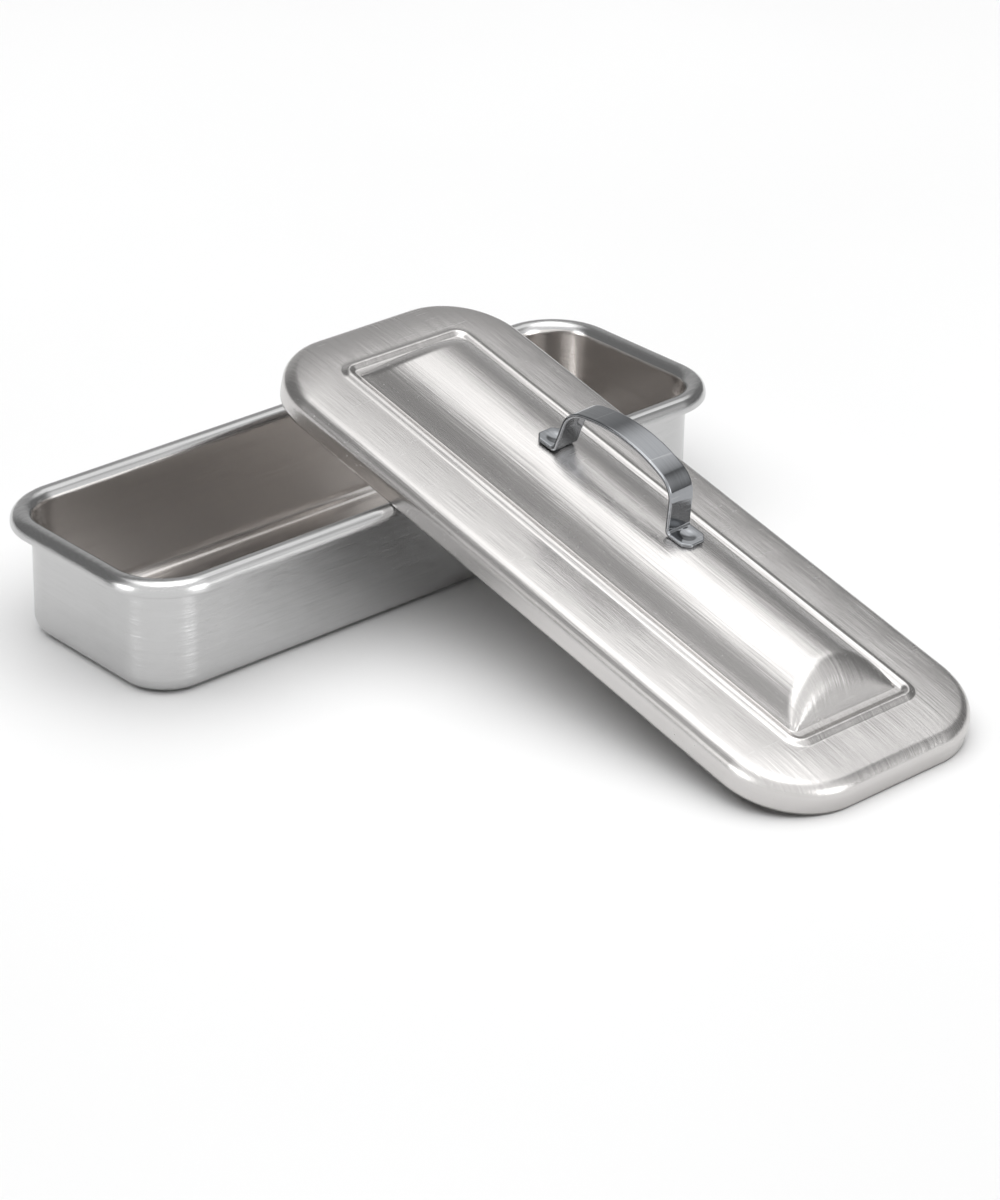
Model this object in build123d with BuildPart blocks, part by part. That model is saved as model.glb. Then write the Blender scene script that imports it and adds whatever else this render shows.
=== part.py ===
from build123d import *
from math import asin, atan2, cos, hypot, radians, sin, tan
import os

# Covered instrument tray: a deep-drawn steel tray, a drawn cover with a raised dome, and a bent
# strap handle that two resistance welds hold on the dome's crest. Millimetres.
# The frame's origin is the middle of the tray's underside, +X runs along the tray and +Z is up.
# The cover stands as it is put down in use: crosswise to the tray, one end on the table at -Y,
# its skirt leaning on the tray's near rim.

# ---- driving dimensions ---------------------------------------------------------------------
sheet = 0.8            # steel sheet of both pans

rim_l = 216.0          # tray, over its rolled rim, along X
rim_w = 76.0           # tray, over its rolled rim, along Y
tray_h = 36.5          # table to the crest of the rim
rim_corner_r = 20.4    # plan radius of the rim's outer edge
rim_r = 3.3            # outer radius of the half-round roll
lip_h = 0.8            # straight part of the lip below the roll
base_r = 4.8           # outer radius between wall and floor

cover_gap = 2.4        # clearance between the rim and the inside of the skirt
skirt_h = 9.3          # skirt's lower edge to the top of the flat border
shoulder_r = 4.4       # outer radius between skirt and border
border_side = 17.2     # skirt to bead, beside the dome
border_end = 15.9      # skirt to bead, past the dome's ends
bead_w = 4.2           # raised bead, width where it meets the border
bead_h = 1.0           # raised bead, height over the border
bead_corner_r = 5.6    # plan radius of the bead's outer edge

dome_side_gap = 0.3    # flat strip between bead and dome, along the sides
dome_end_gap = 1.9     # flat strip between bead and dome, at the ends
dome_h = 10.8          # crest of the dome over the border
dome_end_lean = 34.5   # degrees that the dome's end faces lean in from upright
dome_end_r = 6.6       # radius between an end face and the crest

strap_w = 8.8          # handle strap, across
strap_t = 1.2          # handle strap, thickness
strap_rise = 18.0      # finger room under the middle of the strap
strap_leg_l = 42.6     # between the feet of the two legs
leg_lean = 1.9         # each leg leans in by this much from foot to shoulder
shoulder_drop = 4.3    # middle of the strap down to where legs and crown would meet
strap_shoulder_r = 7.0
strap_bend_r = 2.0
foot_l = 8.4           # from the leg to the end of the foot
foot_corner = 2.0      # corner cut of the foot's end
strap_along = 2.8      # the strap was welded on this far above the cover's middle,
strap_turn = 3.0       # and this many degrees askew

weld_d = 3.6           # weld nugget
weld_sink = 0.3        # depth of the nugget in the dome
dimple_d = 5.6         # electrode mark round the nugget
dimple_h = 0.35
weld_crown_r = 0.4     # rounding of the nugget's upper edge

rest_gap = 0.3         # cover to rim where the cover leans
lean_reach = 154.0     # centre of the near rim's roll to the cover's low end, level
cover_x = 18.6         # cover's middle along the tray

# ---- derived sizes --------------------------------------------------------------------------
roll_z = tray_h - rim_r
roll_y = rim_w / 2 - rim_r
wall_inset = 2 * rim_r - sheet
wall_l = rim_l - 2 * wall_inset
wall_w = rim_w - 2 * wall_inset
wall_corner_r = rim_corner_r - wall_inset

cover_l = rim_l + 2 * (cover_gap + sheet)
cover_w = rim_w + 2 * (cover_gap + sheet)
cover_corner_r = rim_corner_r + cover_gap + sheet

# the bead is the top of a round bar that is sunk into the border
bead_arc_r = (bead_w ** 2 / 4 + bead_h ** 2) / (2 * bead_h)
bead_path_l = cover_l - 2 * border_end - bead_w
bead_path_w = cover_w - 2 * border_side - bead_w
bead_path_r = bead_corner_r - bead_w / 2
bead_axis_z = skirt_h + bead_h - bead_arc_r

dome_l = bead_path_l - bead_w - 2 * dome_end_gap
dome_w = bead_path_w - bead_w - 2 * dome_side_gap
dome_arc_r = (dome_w ** 2 / 4 + dome_h ** 2) / (2 * dome_h)
crest_z = skirt_h + dome_h

foot_x = (strap_leg_l + foot_l) / 2

# how the cover leans: its low end is on the table, its skirt rest_gap clear of the near roll
lean = asin((rim_r + rest_gap) / hypot(lean_reach, roll_z)) + atan2(roll_z, lean_reach)
cover_y = cover_l / 2 * cos(lean) - lean_reach - roll_y
cover_z = cover_l / 2 * sin(lean)

cover_plane = Plane(
    origin=(cover_x, cover_y, cover_z),
    x_dir=(0, cos(lean), sin(lean)),
    z_dir=(0, -sin(lean), cos(lean)),
)
side_plane = Plane(cover_plane.origin, x_dir=cover_plane.x_dir, z_dir=-cover_plane.y_dir)
cross_plane = Plane(cover_plane.origin, x_dir=cover_plane.y_dir, z_dir=cover_plane.x_dir)
strap_plane = Plane(
    origin=cover_plane.origin + cover_plane.x_dir * strap_along,
    x_dir=cover_plane.x_dir.rotate(Axis((0, 0, 0), cover_plane.z_dir), strap_turn),
    z_dir=cover_plane.z_dir,
)
strap_side_plane = Plane(strap_plane.origin, x_dir=strap_plane.x_dir, z_dir=-strap_plane.y_dir)
strap_axis = Axis(strap_plane.origin, strap_plane.x_dir)
cover_up = Axis(cover_plane.origin, cover_plane.z_dir)


# ---- tray -----------------------------------------------------------------------------------
# The sheet's inner surface is one line from the floor over the rolled rim to the lip. Its
# thickness goes on the outside, and the section runs round the wall's rounded rectangle.
with BuildPart() as tray_pan:
    with BuildSketch():
        RectangleRounded(wall_l - 2 * base_r, wall_w - 2 * base_r, wall_corner_r - base_r)
    extrude(amount=sheet)
    with BuildSketch(mode=Mode.PRIVATE) as wall_outline:
        RectangleRounded(wall_l, wall_w, wall_corner_r)
    wall_path = wall_outline.sketch.wire()
    start = wall_path @ 0
    along = wall_path % 0
    with BuildSketch(Plane(origin=start, x_dir=along.cross(Vector(0, 0, 1)), z_dir=-along)):
        with BuildLine():
            heel = CenterArc((-base_r, base_r), base_r - sheet, 270, 90)
            wall = Line(heel @ 1, (-sheet, roll_z))
            roll = CenterArc((rim_r - sheet, roll_z), rim_r, 180, -180)
            Line(roll @ 1, roll @ 1 - (0, lip_h))
            offset(amount=sheet, side=Side.RIGHT)
        make_face()
    sweep(path=wall_path)


# ---- cover ----------------------------------------------------------------------------------
# The cover is an outer form less the same form set in by the sheet. The two forms share these
# functions, so every wall keeps its thickness when a size changes.
def dome_block(inset):
    """The dome: the top of a round bar whose two ends lean in and round over to the crest."""
    foot_z = skirt_h / 2
    end_run = tan(radians(dome_end_lean))
    with BuildPart() as block:
        with BuildSketch(cross_plane):
            with Locations((0, crest_z - dome_arc_r)):
                Circle(dome_arc_r - inset)
            with Locations((0, foot_z)):
                Rectangle(cover_w, cover_w, align=(Align.CENTER, Align.MIN), mode=Mode.INTERSECT)
        extrude(amount=cover_l / 2, both=True)
        with BuildSketch(side_plane) as end_view:
            with BuildLine():
                foot_half = dome_l / 2 + (skirt_h - foot_z) * end_run
                crest_half = dome_l / 2 - dome_h * end_run
                Polyline(
                    (-foot_half, foot_z),
                    (-crest_half, crest_z),
                    (crest_half, crest_z),
                    (foot_half, foot_z),
                    close=True,
                )
            make_face()
            fillet(end_view.vertices().group_by(Axis.Y)[-1], radius=dome_end_r)
            if inset:
                offset(amount=-inset)
        extrude(amount=cover_w, both=True, mode=Mode.INTERSECT)
    return block.part


def cover_form(inset):
    """The whole cover as a filled form, every surface moved inward by inset."""
    dome = dome_block(inset)
    with BuildPart() as form:
        with BuildSketch(cover_plane):
            RectangleRounded(cover_l - 2 * inset, cover_w - 2 * inset, cover_corner_r - inset)
        extrude(amount=skirt_h - inset)
        fillet(form.faces().sort_by(cover_up)[-1].edges(), radius=shoulder_r - inset)
        add(dome)
        with BuildSketch(cover_plane.offset(bead_axis_z), mode=Mode.PRIVATE) as bead_outline:
            RectangleRounded(bead_path_l, bead_path_w, bead_path_r)
        bead_path = bead_outline.sketch.wire()
        with BuildSketch(Plane(origin=bead_path @ 0, z_dir=bead_path % 0)):
            Circle(bead_arc_r - inset)
        sweep(path=bead_path)
    return form.part


cover_outside = cover_form(0)
cover_inside = cover_form(sheet)

with BuildPart() as lid_pan:
    add(cover_outside)
    add(cover_inside, mode=Mode.SUBTRACT)
    with BuildSketch(strap_plane.offset(crest_z - weld_sink)):
        with Locations((-foot_x, 0), (foot_x, 0)):
            Circle(weld_d / 2)
    extrude(amount=strap_t, mode=Mode.SUBTRACT)


# ---- strap handle ---------------------------------------------------------------------------
# A flat strip bent to a low arch. Its underside is drawn from foot to foot along the crest.
with BuildPart() as strap_handle:
    with BuildSketch(strap_side_plane):
        with BuildLine() as underside:
            leg_x = strap_leg_l / 2
            toe = (-leg_x - foot_l, crest_z)
            heel = (-leg_x, crest_z)
            shoulder = (-leg_x + leg_lean, crest_z + strap_rise - shoulder_drop)
            left = FilletPolyline(toe, heel, shoulder, radius=strap_bend_r)
            right = mirror(left, about=Plane.YZ)
            ThreePointArc(left @ 1, (0, crest_z + strap_rise), right @ 1)
            fillet(underside.vertices().group_by(Axis.Y)[-1], radius=strap_shoulder_r)
            offset(amount=strap_t, side=Side.LEFT)
        make_face()
    extrude(amount=strap_w / 2, both=True)
    toes = strap_handle.faces().filter_by(strap_axis).sort_by(strap_axis)
    for toe_face in (toes[0], toes[-1]):
        chamfer(toe_face.edges().filter_by(cover_up), length=foot_corner)
    with BuildSketch(strap_plane.offset(crest_z)):
        with Locations((-foot_x, 0), (foot_x, 0)):
            Circle(weld_d / 2)
    extrude(amount=strap_t, mode=Mode.SUBTRACT)
    with BuildSketch(strap_plane.offset(crest_z + strap_t - dimple_h)):
        with Locations((-foot_x, 0), (foot_x, 0)):
            Circle(dimple_d / 2)
    extrude(amount=dimple_h, mode=Mode.SUBTRACT)


# ---- spot welds -----------------------------------------------------------------------------
# Two nuggets, one in each foot, fused a little way into the dome.
with BuildPart() as spot_welds:
    with BuildSketch(strap_plane.offset(crest_z - weld_sink)):
        with Locations((-foot_x, 0), (foot_x, 0)):
            Circle(weld_d / 2)
    extrude(amount=weld_sink + strap_t - dimple_h)
    for nugget in spot_welds.solids():
        fillet(nugget.faces().sort_by(cover_up)[-1].edges(), radius=weld_crown_r)


# ---- nodes ----------------------------------------------------------------------------------
os.makedirs("parts", exist_ok=True)

tray_pan.part.label = "tray_pan"
export_step(tray_pan.part, "parts/tray_pan.step")

lid_pan.part.label = "lid_pan"
export_step(lid_pan.part, "parts/lid_pan.step")

strap_handle.part.label = "strap_handle"
export_step(strap_handle.part, "parts/strap_handle.step")

spot_welds.part.label = "spot_welds"
export_step(spot_welds.part, "parts/spot_welds.step")
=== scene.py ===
# %% [markdown]
# # Covered instrument tray
# The real thing is three pieces of stainless steel: a deep drawn tray with a rolled rim, a drawn
# cover with a dome, and a bent strap that two spot welds hold on the dome. The cover is put down
# crosswise, one end on the table and its skirt leaning on the tray's rim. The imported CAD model
# is loaded first as a fixed frame, and every piece made here is in its coordinates, in metres.

# %% Load the frame
from math import asin, atan2, cos, hypot, pi, radians, sin, sqrt, tan

import bmesh
import bpy
from mathutils import Matrix, Vector


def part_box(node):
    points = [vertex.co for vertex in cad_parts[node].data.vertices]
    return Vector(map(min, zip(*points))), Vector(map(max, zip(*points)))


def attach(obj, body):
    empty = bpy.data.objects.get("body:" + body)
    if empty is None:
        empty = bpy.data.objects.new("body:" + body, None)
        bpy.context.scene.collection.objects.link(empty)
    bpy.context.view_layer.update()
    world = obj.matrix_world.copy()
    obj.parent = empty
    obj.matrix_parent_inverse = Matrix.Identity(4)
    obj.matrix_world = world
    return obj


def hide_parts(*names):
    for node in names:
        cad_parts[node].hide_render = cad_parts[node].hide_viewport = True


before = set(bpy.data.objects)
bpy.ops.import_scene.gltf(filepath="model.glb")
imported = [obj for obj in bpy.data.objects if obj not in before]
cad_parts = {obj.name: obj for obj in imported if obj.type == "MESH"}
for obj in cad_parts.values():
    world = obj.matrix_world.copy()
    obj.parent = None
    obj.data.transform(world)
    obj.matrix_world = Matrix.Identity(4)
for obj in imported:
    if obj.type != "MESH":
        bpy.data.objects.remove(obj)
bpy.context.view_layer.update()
print("nodes:", sorted(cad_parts))

# %% [markdown]
# ## Sizes
# The outer sizes of the tray come from the frame. The small ones, such as the sheet and the
# radii, can't be measured there, so they are named here once, in millimetres like a drawing.

# %% Sizes of the two pans
MM = 0.001
tray_low, tray_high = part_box("tray_pan")
rim_l = (tray_high[0] - tray_low[0]) / MM
rim_w = (tray_high[1] - tray_low[1]) / MM
tray_h = (tray_high[2] - tray_low[2]) / MM

sheet = 0.8
rim_r = 3.3
rim_corner_r = 20.4
lip_h = 0.8
base_r = 4.8
edge_r = 0.3

cover_gap = 2.4
skirt_h = 9.3
shoulder_r = 4.4
border_side = 17.2
border_end = 15.9
bead_w = 4.2
bead_h = 1.0
bead_corner_r = 5.6
dome_side_gap = 0.3
dome_end_gap = 1.9
dome_h = 10.8
dome_end_lean = radians(34.5)
arch_soft = 8.5
arch_fade = 2.2
border_fall = radians(7.0)

wall_inset = 2 * rim_r - sheet
wall_l = rim_l - 2 * wall_inset
wall_w = rim_w - 2 * wall_inset
wall_corner_r = rim_corner_r - wall_inset
roll_z = tray_h - rim_r
cover_l = rim_l + 2 * (cover_gap + sheet)
cover_w = rim_w + 2 * (cover_gap + sheet)
cover_corner_r = rim_corner_r + cover_gap + sheet
crest_z = skirt_h + dome_h
print(f"tray {rim_l:.1f} x {rim_w:.1f} x {tray_h:.1f} mm, cover {cover_l:.1f} x {cover_w:.1f} mm")

# %% [markdown]
# ## Where the cover leans
# The cover has a frame of its own: x runs up along it, z stands out of its border. Its lean
# follows from two contacts, the table under its low end and the round rim under its skirt,
# exactly as on the CAD model, and the CAD node's box confirms the result.

# %% The cover's frame
rest_gap = 0.3
lean_reach = 154.0
cover_x = 18.6
roll_y = rim_w / 2 - rim_r
lean = asin((rim_r + rest_gap) / hypot(lean_reach, roll_z)) + atan2(roll_z, lean_reach)
cover_y = cover_l / 2 * cos(lean) - lean_reach - roll_y
cover_z = cover_l / 2 * sin(lean)
cover_frame = Matrix(
    (
        (0, -1, 0, cover_x),
        (cos(lean), 0, -sin(lean), cover_y),
        (sin(lean), 0, cos(lean), cover_z),
        (0, 0, 0, 1),
    )
)
lid_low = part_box("lid_pan")[0]
print(f"lean {lean * 180 / pi:.2f} degrees, cover low end y {lid_low[1] / MM:.2f} mm")


# %% [markdown]
# ## Shader maths as expressions
# A pattern is arithmetic on sockets, and arithmetic reads best as Python. Wire wraps one output
# socket, and adding or multiplying wires adds Math nodes. Every other node comes from node().

# %% One class for node trees
class Wire:
    """One output socket of a node tree."""

    def __init__(self, tree, socket=None):
        self.tree = tree
        self.socket = socket

    def node(self, kind, settings=None, inputs=None, out=0):
        """Adds a node, sets it up, feeds its sockets and returns one of its outputs."""
        made = self.tree.nodes.new(kind)
        for key, value in (settings or {}).items():
            setattr(made, key, value)
        for key, value in (inputs or {}).items():
            if isinstance(value, Wire):
                self.tree.links.new(value.socket, made.inputs[key])
            else:
                made.inputs[key].default_value = value
        return Wire(self.tree, made.outputs[out] if made.outputs else None)

    def maths(self, operation, first, second=0.0):
        return self.node("ShaderNodeMath", {"operation": operation}, {0: first, 1: second})

    def __add__(self, other):
        return self.maths("ADD", self, other)

    def __sub__(self, other):
        return self.maths("SUBTRACT", self, other)

    def __mul__(self, other):
        return self.maths("MULTIPLY", self, other)

    def __truediv__(self, other):
        return self.maths("DIVIDE", self, other)

    def __rsub__(self, other):
        return self.maths("SUBTRACT", other, self)

    def ramp(self, low, high):
        """0 below low, 1 above high, smooth between."""
        steps = {"interpolation_type": "SMOOTHSTEP"}
        return self.node("ShaderNodeMapRange", steps, {"Value": self, "From Min": low, "From Max": high})


def mix_colour(mask, low, high):
    """Colour low where the mask is 0, high where it is 1."""
    return mask.node("ShaderNodeMix", {"data_type": "RGBA"}, {0: mask, 6: low, 7: high}, out=2)


# %% [markdown]
# ## Steel
# All of the object is one metal with four finishes, and what makes it steel is its grain. The tray's
# inside has its colour painted lighter than the outside's, a painted brightening that stands in for light.
# Fine scratches run one way, far longer than they are wide, and each one tips the surface a little
# across its length. A light is smeared across the grain and stays short along it. So the grain here is
# noise drawn out along the scratches, and it tilts the normal across them. On top come handling
# smudges in the roughness, slow waves of the sheet, and a few stray hairlines.

# %% Grain as a tilt of the normal
def streaks(place, scale, detail=2.0):
    """Noise drawn out along the axis whose scale is small, about -1 to 1."""
    stretched = place.node("ShaderNodeMapping", inputs={"Vector": place, "Scale": scale})
    noise = place.node(
        "ShaderNodeTexNoise",
        inputs={"Vector": stretched, "Scale": 1.0, "Detail": detail, "Roughness": 0.6},
    )
    return noise * 4.0 - 2.0


def tilt(normal, amount, direction):
    """Pushes a normal along a direction by an amount that varies."""
    push = amount.node(
        "ShaderNodeVectorMath",
        {"operation": "SCALE"},
        {0: direction, "Scale": amount},
    )
    return normal.node("ShaderNodeVectorMath", {"operation": "ADD"}, {0: normal, 1: push})


def dot(first, second):
    operation = {"operation": "DOT_PRODUCT"}
    return first.node("ShaderNodeVectorMath", operation, {0: first, 1: second}, out="Value")


def facing(normal, direction):
    """How squarely a surface faces a direction or its opposite, 0 to 1."""
    turned = dot(normal, direction)
    return turned.maths("ABSOLUTE", turned)


def hairlines(place):
    """Sparse thin scratches in two directions, 1 on a scratch and 0 beside it."""
    total = None
    for angle, length in ((0.35, 30.0), (-1.2, 45.0)):
        turn = (0.2, 0.1, angle)
        drawn_out = (length, 1500.0, 1500.0)
        turned = place.node(
            "ShaderNodeMapping",
            inputs={"Vector": place, "Rotation": turn, "Scale": drawn_out},
        )
        noise = place.node("ShaderNodeTexNoise", inputs={"Vector": turned, "Scale": 1.0, "Detail": 0.0})
        line = noise.ramp(0.79, 0.84)
        total = line if total is None else total + line
    return total


# %% One builder for the four finishes
flat_finer = 4.0
wall_finer = 6.0
flat_mix = (0.3, 0.8)
wall_fine = 0.9
sheet_wave = 14.0
smudge_size = 30.0
wave_height = 0.0001
scratch_grey = (0.85, 0.85, 0.85, 1.0)


def finer(grain, times):
    return tuple(times * s for s in grain)


def steel(
    name, tint, rough, lean_angle, flat_grain, wall_grain, smear, wall_smear, wear, blotch=0.08
):
    """Steel whose grain runs along one level direction on the flats and round the walls.

    flat_grain and wall_grain are noise scales per metre, and smear and wall_smear say how far
    the grain tilts the normal there. wear is how much handling shows, and blotch how much
    coarse grain the walls have."""
    material = bpy.data.materials.new(name)
    material.use_nodes = True
    tree = material.node_tree
    tree.nodes.clear()
    start = Wire(tree)
    place = start.node("ShaderNodeTexCoord", out="Object")
    # the pattern lies along the piece's own length and stands out of its flats
    back = (-lean_angle, 0.0, 0.0)
    place = start.node("ShaderNodeMapping", inputs={"Vector": place, "Rotation": back})
    out_of_flat = (0.0, -sin(lean_angle), cos(lean_angle))
    across_flat = (1.0, 0.0, 0.0) if lean_angle else (0.0, 1.0, 0.0)
    normal = start.node("ShaderNodeNewGeometry", out="Normal")
    flat = facing(normal, out_of_flat)
    coarse = streaks(place, flat_grain)
    fine = streaks(place, finer(flat_grain, flat_finer), 1.0)
    band = streaks(place, wall_grain)
    fine_band = streaks(place, finer(wall_grain, wall_finer), 1.0)
    hair = hairlines(place) * wear
    grain = coarse * flat_mix[0] + fine * flat_mix[1]
    walls = band * blotch + fine_band * wall_fine
    tipped = tilt(normal, grain * flat * smear, across_flat)
    tipped = tilt(tipped, walls * (1.0 - flat) * wall_smear, out_of_flat)
    level = start.node("ShaderNodeVectorMath", {"operation": "NORMALIZE"}, {0: tipped})
    sway = start.node(
        "ShaderNodeTexNoise",
        inputs={"Vector": place, "Scale": sheet_wave, "Detail": 1.0},
    )
    height = sway - hair * 0.02
    waved = start.node(
        "ShaderNodeBump",
        inputs={"Height": height, "Strength": 1.0, "Distance": wave_height, "Normal": level},
    )
    smudge = start.node(
        "ShaderNodeTexNoise",
        inputs={"Vector": place, "Scale": smudge_size, "Detail": 4.0, "Roughness": 0.6},
    )
    tone = coarse * flat + band * (1.0 - flat) * 0.4
    dark = tuple(0.9 * c for c in tint)
    light = tuple(min(1.0, 1.05 * c) for c in tint)
    colour = mix_colour(tone.ramp(-0.9, 0.9), (*dark, 1.0), (*light, 1.0))
    worn = mix_colour(hair * 0.25, colour, scratch_grey)
    handled = smudge.ramp(0.48, 0.75) * (0.07 * wear)
    roughness = tone * 0.02 + handled + hair * 0.05 + rough
    shader = start.node(
        "ShaderNodeBsdfPrincipled",
        inputs={"Base Color": worn, "Metallic": 1.0, "Roughness": roughness, "Normal": waved},
    )
    start.node("ShaderNodeOutputMaterial", inputs={"Surface": shader})
    print("finish:", name)
    return material


tray_steel = steel(
    "satin steel",
    tint=(0.56, 0.56, 0.56),
    rough=0.18,
    lean_angle=0.0,
    flat_grain=(12.0, 3000.0, 3000.0),
    wall_grain=(12.0, 12.0, 12000.0),
    smear=0.14,
    wall_smear=0.45,
    wear=0.4,
    blotch=0.03,
)
# the inside's tint is lighter than the outside's: painted light that brightens the inside of the tray
inside_steel_painted_lighter = steel(
    "inside steel painted lighter",
    tint=(0.74, 0.715, 0.695),
    rough=0.24,
    lean_angle=0.0,
    flat_grain=(12.0, 3000.0, 3000.0),
    wall_grain=(12.0, 12.0, 3000.0),
    smear=0.1,
    wall_smear=0.16,
    wear=0.0,
)
cover_steel = steel(
    "brushed cover steel",
    tint=(0.62, 0.605, 0.595),
    rough=0.25,
    lean_angle=lean,
    flat_grain=(8000.0, 14.0, 14.0),
    wall_grain=(14.0, 14.0, 8000.0),
    smear=0.26,
    wall_smear=0.16,
    wear=0.4,
)
bright_steel = steel(
    "bright strap steel",
    tint=(0.33, 0.34, 0.355),
    rough=0.07,
    lean_angle=lean,
    flat_grain=(2200.0, 14.0, 14.0),
    wall_grain=(14.0, 14.0, 2200.0),
    smear=0.03,
    wall_smear=0.03,
    wear=0.6,
)


# %% [markdown]
# ## The tray
# The pan follows one rule: the section of its sheet, from the floor over the rolled rim to the
# lip and back along the underside, runs round a rounded rectangle. That is a Curve to Mesh in
# Geometry Nodes. Two filled outlines close the floor, above and below.

# %% The section of the sheet
def arc(centre, radius, first, last, count):
    """Points on an arc, angles in degrees."""
    points = []
    for i in range(count + 1):
        angle = radians(first + (last - first) * i / count)
        points.append((centre[0] + radius * cos(angle), centre[1] + radius * sin(angle)))
    return points


wall_steps = 12
roll_steps = 28
heel_steps = 14
edge_steps = 4


def tray_section():
    """(out, up) points from the floor's upper side over the rim to its underside."""
    levels = [base_r + (roll_z - base_r) * i / wall_steps for i in range(1, wall_steps)]
    rise = [(-sheet, level) for level in levels]
    fall = [(0.0, level) for level in reversed(levels)]
    roll = (rim_r - sheet, roll_z)
    lip_x = 2 * rim_r - sheet
    lip_z = roll_z - lip_h
    points = arc((-base_r, base_r), base_r - sheet, 270, 360, heel_steps)
    points += rise
    points += arc(roll, rim_r, 180, 0, roll_steps)
    points += arc((lip_x - edge_r, lip_z + edge_r), edge_r, 0, -90, edge_steps)
    points += arc((lip_x - sheet + edge_r, lip_z + edge_r), edge_r, 270, 180, edge_steps)
    points += arc(roll, rim_r - sheet, 0, 180, roll_steps)
    points += fall
    points += arc((-base_r, base_r), base_r, 360, 270, heel_steps)
    return points


def poly_curve(name, points):
    """An open poly curve in its own xy plane, in metres."""
    data = bpy.data.curves.new(name, "CURVE")
    data.dimensions = "3D"
    spline = data.splines.new("POLY")
    spline.points.add(len(points) - 1)
    for point, (x, y) in zip(spline.points, points):
        point.co = (x * MM, y * MM, 0.0, 1.0)
    made = bpy.data.objects.new(name, data)
    bpy.context.scene.collection.objects.link(made)
    return made


# a swept section's second axis points down, so the section is drawn upside down
section_line = poly_curve("tray section line", [(out, -up) for out, up in tray_section()])
print("section points:", len(section_line.data.splines[0].points))


# %% The tree that runs the section round
outline_steps = 28
join_distance = 0.00008


def outline_nodes(start, length, width, corner):
    """A rounded rectangle as a curve, from wires of its sizes."""
    box = start.node(
        "GeometryNodeCurvePrimitiveQuadrilateral",
        {"mode": "RECTANGLE"},
        {"Width": length, "Height": width},
    )
    return start.node(
        "GeometryNodeFilletCurve",
        {"mode": "POLY"},
        {"Curve": box, "Radius": corner, "Count": outline_steps},
    )


def pan_tree(material):
    tree = bpy.data.node_groups.new("drawn pan", "GeometryNodeTree")
    for name in ("Wall length", "Wall width", "Wall corner", "Base radius", "Sheet"):
        tree.interface.new_socket(name, in_out="INPUT", socket_type="NodeSocketFloat")
    tree.interface.new_socket("Section", in_out="INPUT", socket_type="NodeSocketObject")
    tree.interface.new_socket("Geometry", in_out="OUTPUT", socket_type="NodeSocketGeometry")
    start = Wire(tree)
    given = tree.nodes.new("NodeGroupInput")
    length, width, corner, base, thick, line = (Wire(tree, given.outputs[i]) for i in range(6))
    section = start.node("GeometryNodeObjectInfo", inputs={"Object": line}, out="Geometry")
    path = outline_nodes(start, length, width, corner)
    upright = start.node("GeometryNodeSetCurveNormal", {"mode": "Z_UP"}, {"Curve": path})
    walls = start.node("GeometryNodeCurveToMesh", inputs={"Curve": upright, "Profile Curve": section})
    flat = outline_nodes(start, length - base * 2.0, width - base * 2.0, corner - base)
    under = start.node("GeometryNodeFillCurve", {"mode": "NGONS"}, {"Curve": flat})
    lift = start.node("ShaderNodeCombineXYZ", inputs={"Z": thick})
    above = start.node("GeometryNodeTransform", inputs={"Geometry": under, "Translation": lift})
    joined = tree.nodes.new("GeometryNodeJoinGeometry")
    for piece in (walls, under, above):
        tree.links.new(piece.socket, joined.inputs[0])
    merged = start.node(
        "GeometryNodeMergeByDistance",
        inputs={"Geometry": Wire(tree, joined.outputs[0]), "Distance": join_distance},
    )
    real = start.node("GeometryNodeRealizeInstances", inputs={"Geometry": merged})
    steeled = start.node("GeometryNodeSetMaterial", inputs={"Geometry": real, "Material": material})
    end = tree.nodes.new("NodeGroupOutput")
    tree.links.new(steeled.socket, end.inputs[0])
    return tree


def baked_piece(name, tree, values, on_strap_spot=False):
    """Runs a tree on an empty mesh and keeps the result as a plain mesh object."""
    host = bpy.data.objects.new("host", bpy.data.meshes.new("host"))
    bpy.context.scene.collection.objects.link(host)
    modifier = host.modifiers.new("nodes", "NODES")
    modifier.node_group = tree
    for item in tree.interface.items_tree:
        if item.in_out == "INPUT" and item.name in values:
            modifier[item.identifier] = values[item.name]
    graph = bpy.context.evaluated_depsgraph_get()
    mesh = bpy.data.meshes.new_from_object(host.evaluated_get(graph), depsgraph=graph)
    bpy.data.objects.remove(host)
    while mesh.materials and mesh.materials[0] is None:
        mesh.materials.pop(index=0)
    if on_strap_spot:
        place_on_dome(mesh)
    return piece_object(name, mesh)


same_point = 0.000001


def piece_object(name, mesh, material=None):
    """A finished piece: normals outward, smooth shading, at the origin."""
    tidy = bmesh.new()
    tidy.from_mesh(mesh)
    bmesh.ops.remove_doubles(tidy, verts=tidy.verts, dist=same_point)
    bmesh.ops.recalc_face_normals(tidy, faces=tidy.faces)
    for face in tidy.faces:
        face.smooth = True
    open_edges = sum(1 for edge in tidy.edges if not edge.is_manifold)
    tidy.to_mesh(mesh)
    tidy.free()
    mesh.name = name
    if material:
        mesh.materials.append(material)
    made = bpy.data.objects.new(name, mesh)
    bpy.context.scene.collection.objects.link(made)
    print(f"{name}: {len(mesh.polygons)} faces, {open_edges} open edges")
    return made


tray = baked_piece(
    "tray",
    pan_tree(tray_steel),
    {
        "Wall length": wall_l * MM,
        "Wall width": wall_w * MM,
        "Wall corner": wall_corner_r * MM,
        "Base radius": base_r * MM,
        "Sheet": sheet * MM,
        "Section": section_line,
    },
)
bpy.data.objects.remove(section_line)
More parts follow.
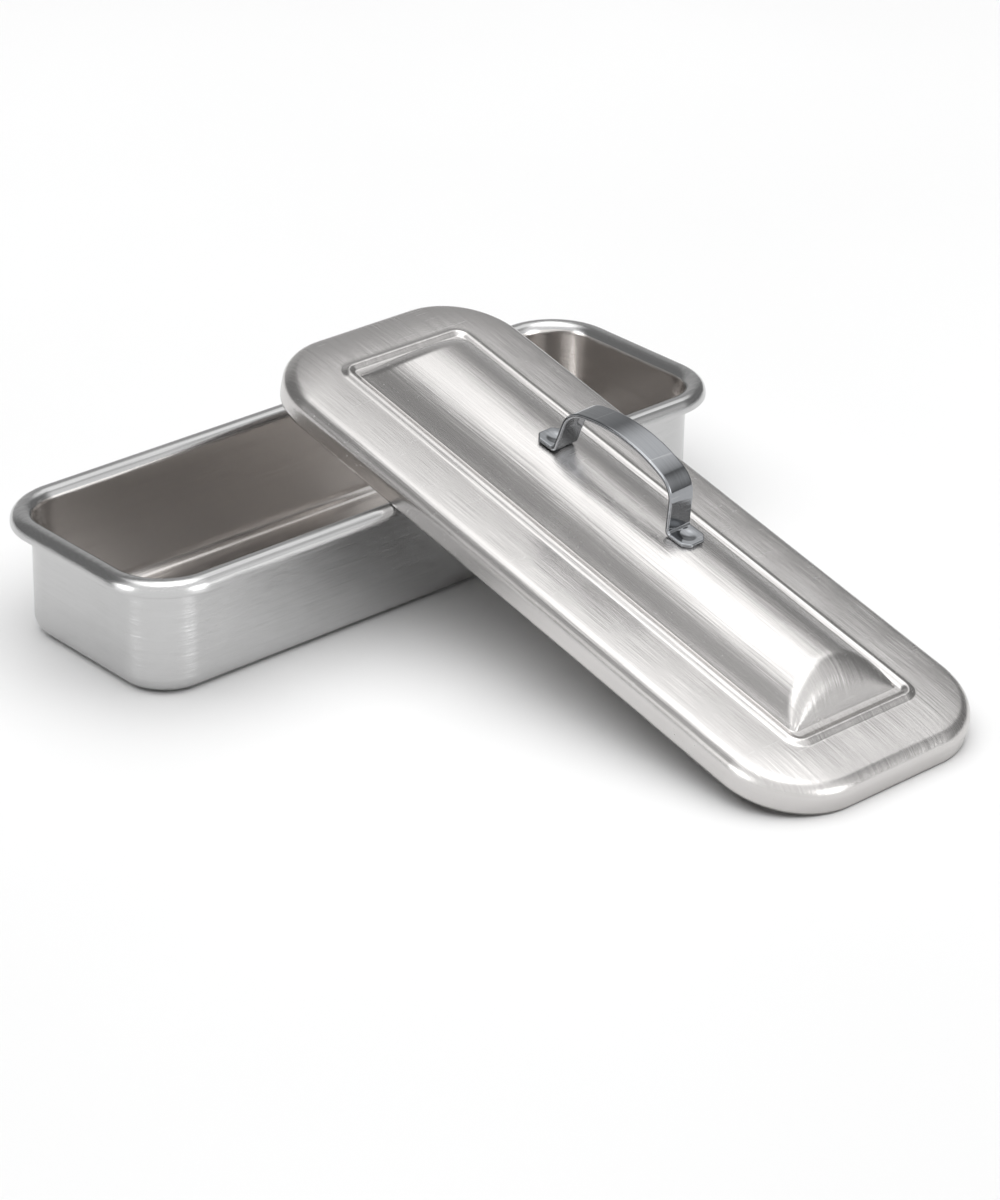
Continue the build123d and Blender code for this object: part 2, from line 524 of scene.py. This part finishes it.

# the inside gets a lighter, warmer tint than the outside, painted light that brightens the inside of
# the tray; a face is inside where it lies within the wall's outline and faces up or towards the middle
tray.data.materials.append(inside_steel_painted_lighter)
inside_index = len(tray.data.materials) - 1
for face in tray.data.polygons:
    x, y, z = face.center / MM
    past_x = max(abs(x) - (wall_l / 2 - wall_corner_r), 0.0)
    past_y = max(abs(y) - (wall_w / 2 - wall_corner_r), 0.0)
    within = hypot(past_x, past_y) < wall_corner_r - sheet / 2
    faces_in = face.normal.z > 0.02 or face.normal.x * x + face.normal.y * y < -0.001
    if within and faces_in:
        face.material_index = inside_index
inside_faces = sum(1 for face in tray.data.polygons if face.material_index == inside_index)
print("tray faces with the inside finish:", inside_faces)


# %% [markdown]
# ## The cover
# The cover is a stack of rounded rectangles, one for each height and inset: up the skirt, over
# the shoulder, across the slightly crowned border, over the bead, and up the dome. On the dome
# the rings shrink to a ridge line in plan, and each of their points is lifted to the dome's
# height there. The sheet's thickness is added inward.

# %% Rings
corner_steps = 20
long_steps = 84
short_steps = 24


def ring(half_l, half_w, corner, z):
    """One closed ring of points, the same number for every ring."""
    corner = min(corner, half_w)
    centre_x, centre_y = half_l - corner, half_w - corner
    points = []
    for quarter, (sx, sy) in enumerate(((1, 1), (-1, 1), (-1, -1), (1, -1))):
        for i in range(corner_steps + 1):
            angle = pi / 2 * (quarter + i / corner_steps)
            x, y = sx * centre_x + corner * cos(angle), sy * centre_y + corner * sin(angle)
            points.append((x, y, z))
        count = long_steps if quarter % 2 == 0 else short_steps
        end_x, end_y = points[-1][:2]
        along = (-2 * centre_x * sx, 0) if quarter % 2 == 0 else (0, -2 * centre_y * sy)
        for i in range(1, count):
            # points crowd towards the corners, where the shape changes
            t = (1 - cos(pi * i / count)) / 2
            points.append((end_x + along[0] * t, end_y + along[1] * t, z))
    return points


def blend_rings(first, last, steps):
    """Rings between two rings, points moved in straight lines."""
    made = []
    for i in range(1, steps):
        t = i / steps
        made.append([tuple(a + (b - a) * t for a, b in zip(p, q)) for p, q in zip(first, last)])
    return made


# %% The dome as a height over its plan
# The bar's round top and the leaning end plane each give a height, and the lower one counts.
# Where they cross, in an arch, the press leaves a soft edge, which a smooth minimum draws.
dome_l = cover_l - 2 * border_end - 2 * bead_w - 2 * dome_end_gap
dome_w = cover_w - 2 * border_side - 2 * bead_w - 2 * dome_side_gap
dome_arc_r = (dome_w ** 2 / 4 + dome_h ** 2) / (2 * dome_h)
dome_half_angle = asin(dome_w / 2 / dome_arc_r)


def dome_height(x, y):
    bar = sqrt(dome_arc_r ** 2 - y ** 2) - (dome_arc_r - dome_h)
    end = (dome_l / 2 - abs(x)) / tan(dome_end_lean)
    low = max(min(bar, end), 0.0)
    # the soft edge narrows towards the foot, so that the surface never dips below the border
    soft = arch_soft * low / (low + arch_fade)
    if soft < 0.001:
        return low
    overlap = max(1 - abs(bar - end) / soft, 0.0)
    return low - overlap ** 2 * soft / 4


print(f"dome {dome_l:.1f} x {dome_w:.1f} mm, bar radius {dome_arc_r:.1f} mm")


# %% All rings of the cover's outer surface
skirt_steps = 6
shoulder_steps = 16
border_steps = 14
bead_steps = 20
foot_steps = 4
dome_steps = 44
spread = 0.1
foot_r = 0.3
dome_corner_r = 1.6


def cover_rings():
    rings = []
    half_l, half_w = cover_l / 2, cover_w / 2
    bead_l, bead_half_w = half_l - border_end, half_w - border_side
    # the border is a little crowned: level at the bead, falling at the shoulder
    shoulder_in = shoulder_r * (1 - sin(border_fall))
    crown_drop = (border_side - spread - shoulder_in) * tan(border_fall) / 2
    shoulder_z = skirt_h - crown_drop - shoulder_r * cos(border_fall)
    for i in range(skirt_steps + 1):
        rings.append(ring(half_l, half_w, cover_corner_r, shoulder_z * i / skirt_steps))
    for i in range(1, shoulder_steps + 1):
        angle = (pi / 2 - border_fall) * i / shoulder_steps
        inset = shoulder_r * (1 - cos(angle))
        rise = shoulder_z + shoulder_r * sin(angle)
        rings.append(ring(half_l - inset, half_w - inset, cover_corner_r - inset, rise))
    first_bead = ring(bead_l + spread, bead_half_w + spread, bead_corner_r + spread, skirt_h)
    for i, flat in enumerate(blend_rings(rings[-1], first_bead, border_steps), 1):
        rise = skirt_h - crown_drop * (1 - i / border_steps) ** 2
        rings.append([(x, y, rise) for x, y, _ in flat])
    for i in range(bead_steps + 1):
        inset = (bead_w + 2 * spread) * i / bead_steps - spread
        rise = bead_h * (1 - cos(2 * pi * i / bead_steps)) / 2
        corner = max(bead_corner_r - inset, 1.5)
        rings.append(ring(bead_l - inset, bead_half_w - inset, corner, skirt_h + rise))
    return rings + dome_rings()


def dome_rings():
    """Plan outlines that shrink to the ridge line, each point lifted to the dome's height."""
    reach = foot_r * tan(dome_half_angle / 2)
    rings = []
    for i in range(foot_steps + 1):
        t = i / foot_steps
        out = reach * ((1 - t) ** 2 - t ** 2 * cos(dome_half_angle))
        lift = reach * sin(dome_half_angle) * t ** 2
        rings.append(ring(dome_l / 2 + out, dome_w / 2 + out, dome_corner_r, skirt_h + lift))
    first = dome_half_angle - 0.02
    for i in range(1, dome_steps + 1):
        half_w = dome_arc_r * sin(first * (1 - i / dome_steps))
        half_l = dome_l / 2 - (dome_w / 2 - half_w)
        flat = ring(half_l, half_w, dome_corner_r, 0.0)
        rings.append([(x, y, skirt_h + dome_height(x, y)) for x, y, _ in flat])
    return rings


def skin_rings(rings):
    """Quads between rings, as a mesh in metres."""
    count = len(rings[0])
    points = [Vector(p) * MM for one in rings for p in one]
    faces = []
    for level in range(len(rings) - 1):
        for i in range(count):
            j = (i + 1) % count
            low, high = level * count, (level + 1) * count
            faces.append((low + i, low + j, high + j, high + i))
    mesh = bpy.data.meshes.new("rings")
    mesh.from_pydata(points, [], faces)
    return mesh


# %% The cover as one sheet
def sheet_piece(name, rings, material):
    """Skins the rings, gives the skin its thickness inward and puts it in the cover's place."""
    mesh = skin_rings(rings)
    shell = bmesh.new()
    shell.from_mesh(mesh)
    bmesh.ops.remove_doubles(shell, verts=shell.verts, dist=0.0000005)
    bmesh.ops.dissolve_degenerate(shell, edges=shell.edges, dist=0.0000001)
    bmesh.ops.recalc_face_normals(shell, faces=shell.faces)
    shell.to_mesh(mesh)
    shell.free()
    host = bpy.data.objects.new("host", mesh)
    bpy.context.scene.collection.objects.link(host)
    wall = host.modifiers.new("wall", "SOLIDIFY")
    wall.thickness = sheet * MM
    wall.offset = -1.0
    wall.use_even_offset = True
    graph = bpy.context.evaluated_depsgraph_get()
    solid = bpy.data.meshes.new_from_object(host.evaluated_get(graph), depsgraph=graph)
    bpy.data.objects.remove(host)
    place_in_cover(solid)
    return piece_object(name, solid, material)


def place_in_cover(mesh):
    """Moves a mesh made in the cover's own frame to where the cover leans."""
    metres = cover_frame.copy()
    metres.translation = cover_frame.translation * MM
    mesh.transform(metres)


def place_on_dome(mesh):
    """The strap and its nuggets sit a little above the cover's middle, a few degrees askew."""
    spot = Matrix.Translation((strap_along * MM, 0.0, 0.0))
    mesh.transform(spot @ Matrix.Rotation(radians(strap_turn), 4, "Z"))
    place_in_cover(mesh)


cover = sheet_piece("cover", cover_rings(), cover_steel)


# %% [markdown]
# ## The strap handle
# A strip of sheet, bent to a low arch, with two flat feet whose corners are cut off. Its section
# is a flat rectangle with rounded edges. It is lofted station by station instead of swept by a
# modifier, because the feet narrow at their ends and have a dished mark from the electrode.

# %% Sizes of the strap and its welds
strap_w = 8.8
strap_t = 1.2
strap_rise = 18.0
strap_leg_l = 42.6
leg_lean = 1.9
shoulder_drop = 4.3
strap_shoulder_r = 7.0
strap_bend_r = 2.0
foot_l = 8.4
foot_corner = 2.0
strap_along = 2.8
strap_turn = 3.0
strap_edge_r = 0.3
weld_d = 3.6
weld_sink = 0.3
dimple_d = 5.6
dimple_h = 0.35
foot_x = (strap_leg_l + foot_l) / 2


# %% The strap's underside, from one toe to the middle
def strap_line():
    """(x, z, tilt) stations in the cover's frame; tilt is the angle of the strip's direction."""
    leg = Vector((leg_lean, strap_rise - shoulder_drop)).normalized()
    leg_angle = atan2(leg.y, leg.x)
    heel = Vector((-strap_leg_l / 2, crest_z))
    inward = Vector((leg.y, -leg.x))
    half_span = strap_leg_l / 2 - leg_lean
    crown_r = (half_span ** 2 + shoulder_drop ** 2) / (2 * shoulder_drop)
    crown = Vector((0, crest_z + strap_rise - crown_r))
    # the shoulder's arc touches the leg and the inside of the crown's arc
    aside = heel + inward * strap_shoulder_r - crown
    along = aside.dot(leg)
    up_leg = -along + sqrt(along ** 2 - aside.length_squared + (crown_r - strap_shoulder_r) ** 2)
    shoulder = heel + inward * strap_shoulder_r + leg * up_leg
    out = (shoulder - crown).normalized()
    crown_angle = atan2(out.y, out.x) - pi / 2
    setback = strap_bend_r * tan(leg_angle / 2)
    bend = Vector((heel.x - setback, crest_z + strap_bend_r))
    stations = []
    toe_x = heel.x - foot_l
    for i in range(36):
        stations.append((toe_x + (bend.x - toe_x) * i / 36, crest_z, 0.0))
    for i in range(13):
        tilt = leg_angle * i / 12
        stations.append((bend.x + strap_bend_r * sin(tilt), bend.y - strap_bend_r * cos(tilt), tilt))
    low = Vector(stations[-1][:2])
    high = shoulder - inward * strap_shoulder_r
    for i in range(1, 12):
        point = low.lerp(high, i / 12)
        stations.append((point.x, point.y, leg_angle))
    for i in range(21):
        tilt = leg_angle + (crown_angle - leg_angle) * i / 20
        x, z = shoulder.x - strap_shoulder_r * sin(tilt), shoulder.y + strap_shoulder_r * cos(tilt)
        stations.append((x, z, tilt))
    for i in range(1, 25):
        tilt = crown_angle * (1 - i / 24)
        stations.append((crown.x - crown_r * sin(tilt), crown.y + crown_r * cos(tilt), tilt))
    return stations


half_strap = strap_line()
whole_strap = half_strap + [(-x, z, -tilt) for x, z, tilt in reversed(half_strap[:-1])]
print("strap stations:", len(whole_strap), "middle at", tuple(round(v, 2) for v in half_strap[-1]))


# %% Loft the strap
across_steps = 26


def strap_section(half_width, thick, edge):
    """(across, out) points round the strip, counted the same at every station."""
    top = []
    for i in range(across_steps + 1):
        across = -1 + 2 * i / across_steps
        top.append((across * (half_width - edge), thick))
    right = [
        (half_width - edge + edge * sin(pi * i / 8), thick / 2 * (1 + cos(pi * i / 8)))
        for i in range(1, 8)
    ]
    bottom = [(-across, 0.0) for across, _ in top]
    left = [(-across, thick - out) for across, out in right]
    return top + right + bottom + left


def dish(distance):
    """Depth of the electrode's mark at a distance from its middle."""
    t = min(distance / (dimple_d / 2), 1.0)
    return dimple_h * (1 - t ** 2) ** 1.5


def strap_mesh():
    loops = []
    toe = whole_strap[0][0]
    for x, z, tilt in whole_strap:
        from_toe = min(x - toe, -toe - x)
        nose = max(foot_corner - from_toe, 0.0)
        round_in = strap_edge_r * (1 - sqrt(max(1 - (1 - min(from_toe / strap_edge_r, 1)) ** 2, 0)))
        loop = []
        for across, out in strap_section(strap_w / 2 - nose, strap_t - 2 * round_in * 0.8, strap_edge_r):
            height = out + round_in * 0.8
            if out > 0.9 * strap_t - 2 * round_in and abs(tilt) < 0.01 and abs(x) > strap_leg_l / 2:
                height -= dish(hypot(abs(x) - foot_x, across))
            loop.append((x - height * sin(tilt), across, z + height * cos(tilt)))
        loops.append(loop)
    points = [Vector(p) * MM for loop in loops for p in loop]
    count = len(loops[0])
    faces = [tuple(range(count)), tuple(range(len(points) - count, len(points)))]
    for level in range(len(loops) - 1):
        for i in range(count):
            j = (i + 1) % count
            low, high = level * count, (level + 1) * count
            faces.append((low + i, low + j, high + j, high + i))
    mesh = bpy.data.meshes.new("strap")
    mesh.from_pydata(points, [], faces)
    return mesh


strap_shape = strap_mesh()
place_on_dome(strap_shape)
strap = piece_object("strap", strap_shape, bright_steel)

# %% [markdown]
# ## The spot welds
# Each foot is fused to the dome by one nugget, which shows as a small crown in the electrode's
# mark. The two are one flattened ball on the two points of a line, in Geometry Nodes.


# %% Two nuggets
def nugget_tree(material):
    tree = bpy.data.node_groups.new("weld nuggets", "GeometryNodeTree")
    for name in ("Radius", "Crown", "Spacing", "Height"):
        tree.interface.new_socket(name, in_out="INPUT", socket_type="NodeSocketFloat")
    tree.interface.new_socket("Geometry", in_out="OUTPUT", socket_type="NodeSocketGeometry")
    start = Wire(tree)
    given = tree.nodes.new("NodeGroupInput")
    radius, crown, spacing, height = (Wire(tree, given.outputs[i]) for i in range(4))
    ball = start.node(
        "GeometryNodeMeshUVSphere",
        inputs={"Segments": 40, "Rings": 20, "Radius": radius},
    )
    squash = start.node("ShaderNodeCombineXYZ", inputs={"X": 1.0, "Y": 1.0, "Z": crown / radius})
    nugget = start.node("GeometryNodeTransform", inputs={"Geometry": ball, "Scale": squash})
    first = start.node("ShaderNodeCombineXYZ", inputs={"X": spacing * -0.5, "Z": height})
    step = start.node("ShaderNodeCombineXYZ", inputs={"X": spacing})
    spots = start.node("GeometryNodeMeshLine", inputs={"Count": 2, "Start Location": first, "Offset": step})
    placed = start.node("GeometryNodeInstanceOnPoints", inputs={"Points": spots, "Instance": nugget})
    real = start.node("GeometryNodeRealizeInstances", inputs={"Geometry": placed})
    steeled = start.node("GeometryNodeSetMaterial", inputs={"Geometry": real, "Material": material})
    end = tree.nodes.new("NodeGroupOutput")
    tree.links.new(steeled.socket, end.inputs[0])
    return tree


nugget_crown = (weld_sink + strap_t - dimple_h) / 2
nuggets = baked_piece(
    "nuggets",
    nugget_tree(bright_steel),
    {
        "Radius": weld_d / 2 * MM,
        "Crown": nugget_crown * MM,
        "Spacing": 2 * foot_x * MM,
        "Height": (crest_z - weld_sink + nugget_crown) * MM,
    },
    on_strap_spot=True,
)

# %% [markdown]
# ## Joining the pieces to the frame
# Each piece stands for one CAD node and moves with its body.

# %% Bodies, nodes and slots
for piece, body, node, slot in (
    (tray, "tray", "tray_pan", "satin_steel"),
    (cover, "cover", "lid_pan", "cover_steel"),
    (strap, "cover", "strap_handle", "bright_steel"),
    (nuggets, "cover", "spot_welds", "bright_steel"),
):
    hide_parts(node)
    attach(piece, body)
    low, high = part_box(node)
    corners = [Vector(v.co) for v in piece.data.vertices]
    worst = 0.0
    for axis in range(3):
        found_low = min(c[axis] for c in corners)
        found_high = max(c[axis] for c in corners)
        worst = max(worst, abs(found_low - low[axis]), abs(found_high - high[axis]))
    print(f"{piece.name}: {worst / MM:.2f} mm between its box and the CAD node's")

# %% [markdown]
# ## Floor, light and camera
# Polished steel shows what stands round it more than its own colour. The floor is pale and
# matte, and one large light overhead lights it alone. What the steel mirrors is the room: a dim
# grey with a few soft bright patches in it, which don't light the floor.

# %% Floor
floor_mesh = bpy.data.meshes.new("floor")
reach = 4.0
corners = [(-reach, -reach, 0), (reach, -reach, 0), (reach, reach, 0), (-reach, reach, 0)]
floor_mesh.from_pydata(corners, [], [(0, 1, 2, 3)])
floor = bpy.data.objects.new("floor", floor_mesh)
bpy.context.scene.collection.objects.link(floor)
# just clear of the tray's underside
floor_mesh.transform(Matrix.Translation((0, 0, -0.0002)))
paint = bpy.data.materials.new("pale floor")
paint.use_nodes = True
paint.node_tree.nodes.clear()
begin = Wire(paint.node_tree)
spot = begin.node("ShaderNodeTexCoord", out="Object")
cloud = begin.node("ShaderNodeTexNoise", inputs={"Vector": spot, "Scale": 3.0, "Detail": 2.0})
pale = mix_colour(cloud.ramp(0.3, 0.7), (0.88, 0.88, 0.88, 1.0), (0.9, 0.9, 0.9, 1.0))
matte = begin.node("ShaderNodeBsdfPrincipled", inputs={"Base Color": pale, "Roughness": 0.9})
begin.node("ShaderNodeOutputMaterial", inputs={"Surface": matte})
floor_mesh.materials.append(paint)


# %% The light over the floor
light_side = 4.2
light_height = 2.0
light_radiance = 1.9
lamp = bpy.data.lights.new("floor fill", "AREA")
lamp.shape = "RECTANGLE"
lamp.size = light_side
lamp.size_y = light_side
lamp.energy = light_radiance * pi * light_side ** 2
overhead = bpy.data.objects.new("floor fill", lamp)
overhead.location = (0.0, 0.0, light_height)
overhead.visible_camera = False
overhead.visible_glossy = False
bpy.context.scene.collection.objects.link(overhead)
print(f"overhead light: {lamp.energy:.2f} W")


# %% The room
def bearing(azimuth, elevation):
    """Unit vector, azimuth clockwise from +Y and elevation above the floor, in degrees."""
    a, e = radians(azimuth), radians(elevation)
    return (sin(a) * cos(e), cos(a) * cos(e), sin(e))


def glow(direction, towards, inner, outer):
    """1 within inner degrees of a bearing, 0 beyond outer degrees."""
    return dot(direction, towards).ramp(cos(radians(outer)), cos(radians(inner)))


world = bpy.data.worlds.new("room")
world.use_nodes = True
world.node_tree.nodes.clear()
sky = Wire(world.node_tree)
looking = sky.node("ShaderNodeTexCoord", out="Generated")
front = glow(looking, bearing(-153, 32), 52, 76)
key = glow(looking, bearing(70, 58), 9, 26)
ceiling = glow(looking, bearing(0, 90), 8, 34)
back = glow(looking, bearing(30, 10), 12, 42)
left_strip = glow(looking, bearing(-80, 16), 5, 20)
right_strip = glow(looking, bearing(165, 14), 5, 20)
strips = left_strip + right_strip
dim = 0.22
radiance = front * 0.85 + key * 1.0 + ceiling * 2.0 + back * 0.28 + strips * 3.0 + dim
white = (1.0, 1.0, 1.0, 1.0)
shine = sky.node("ShaderNodeBackground", inputs={"Color": white, "Strength": radiance})
sky.node("ShaderNodeOutputWorld", inputs={"Surface": shine})
world.cycles_visibility.diffuse = False
bpy.context.scene.world = world
bpy.context.scene.view_settings.view_transform = "Standard"

# %% Camera
camera_place = Vector((-0.67181, -0.78674, 0.51845))
pitch = radians(27.223)
heading = radians(-42.578)
roll = radians(1.161)
forward = Vector((-sin(heading) * cos(pitch), cos(heading) * cos(pitch), -sin(pitch)))
right = forward.cross(Vector((0, 0, 1))).normalized()
up = right.cross(forward)
turned_right = right * cos(roll) + up * sin(roll)
turned_up = up * cos(roll) - right * sin(roll)
lens = bpy.data.cameras.new("camera")
lens.lens = 120.69
lens.sensor_width = 36.0
lens.clip_start = 0.05
lens.clip_end = 20.0
camera = bpy.data.objects.new("camera", lens)
turn = Matrix((turned_right, turned_up, -forward)).transposed().to_4x4()
camera.matrix_world = Matrix.Translation(camera_place) @ turn
bpy.context.scene.collection.objects.link(camera)
bpy.context.scene.camera = camera

# %% Finish
bpy.context.view_layer.update()
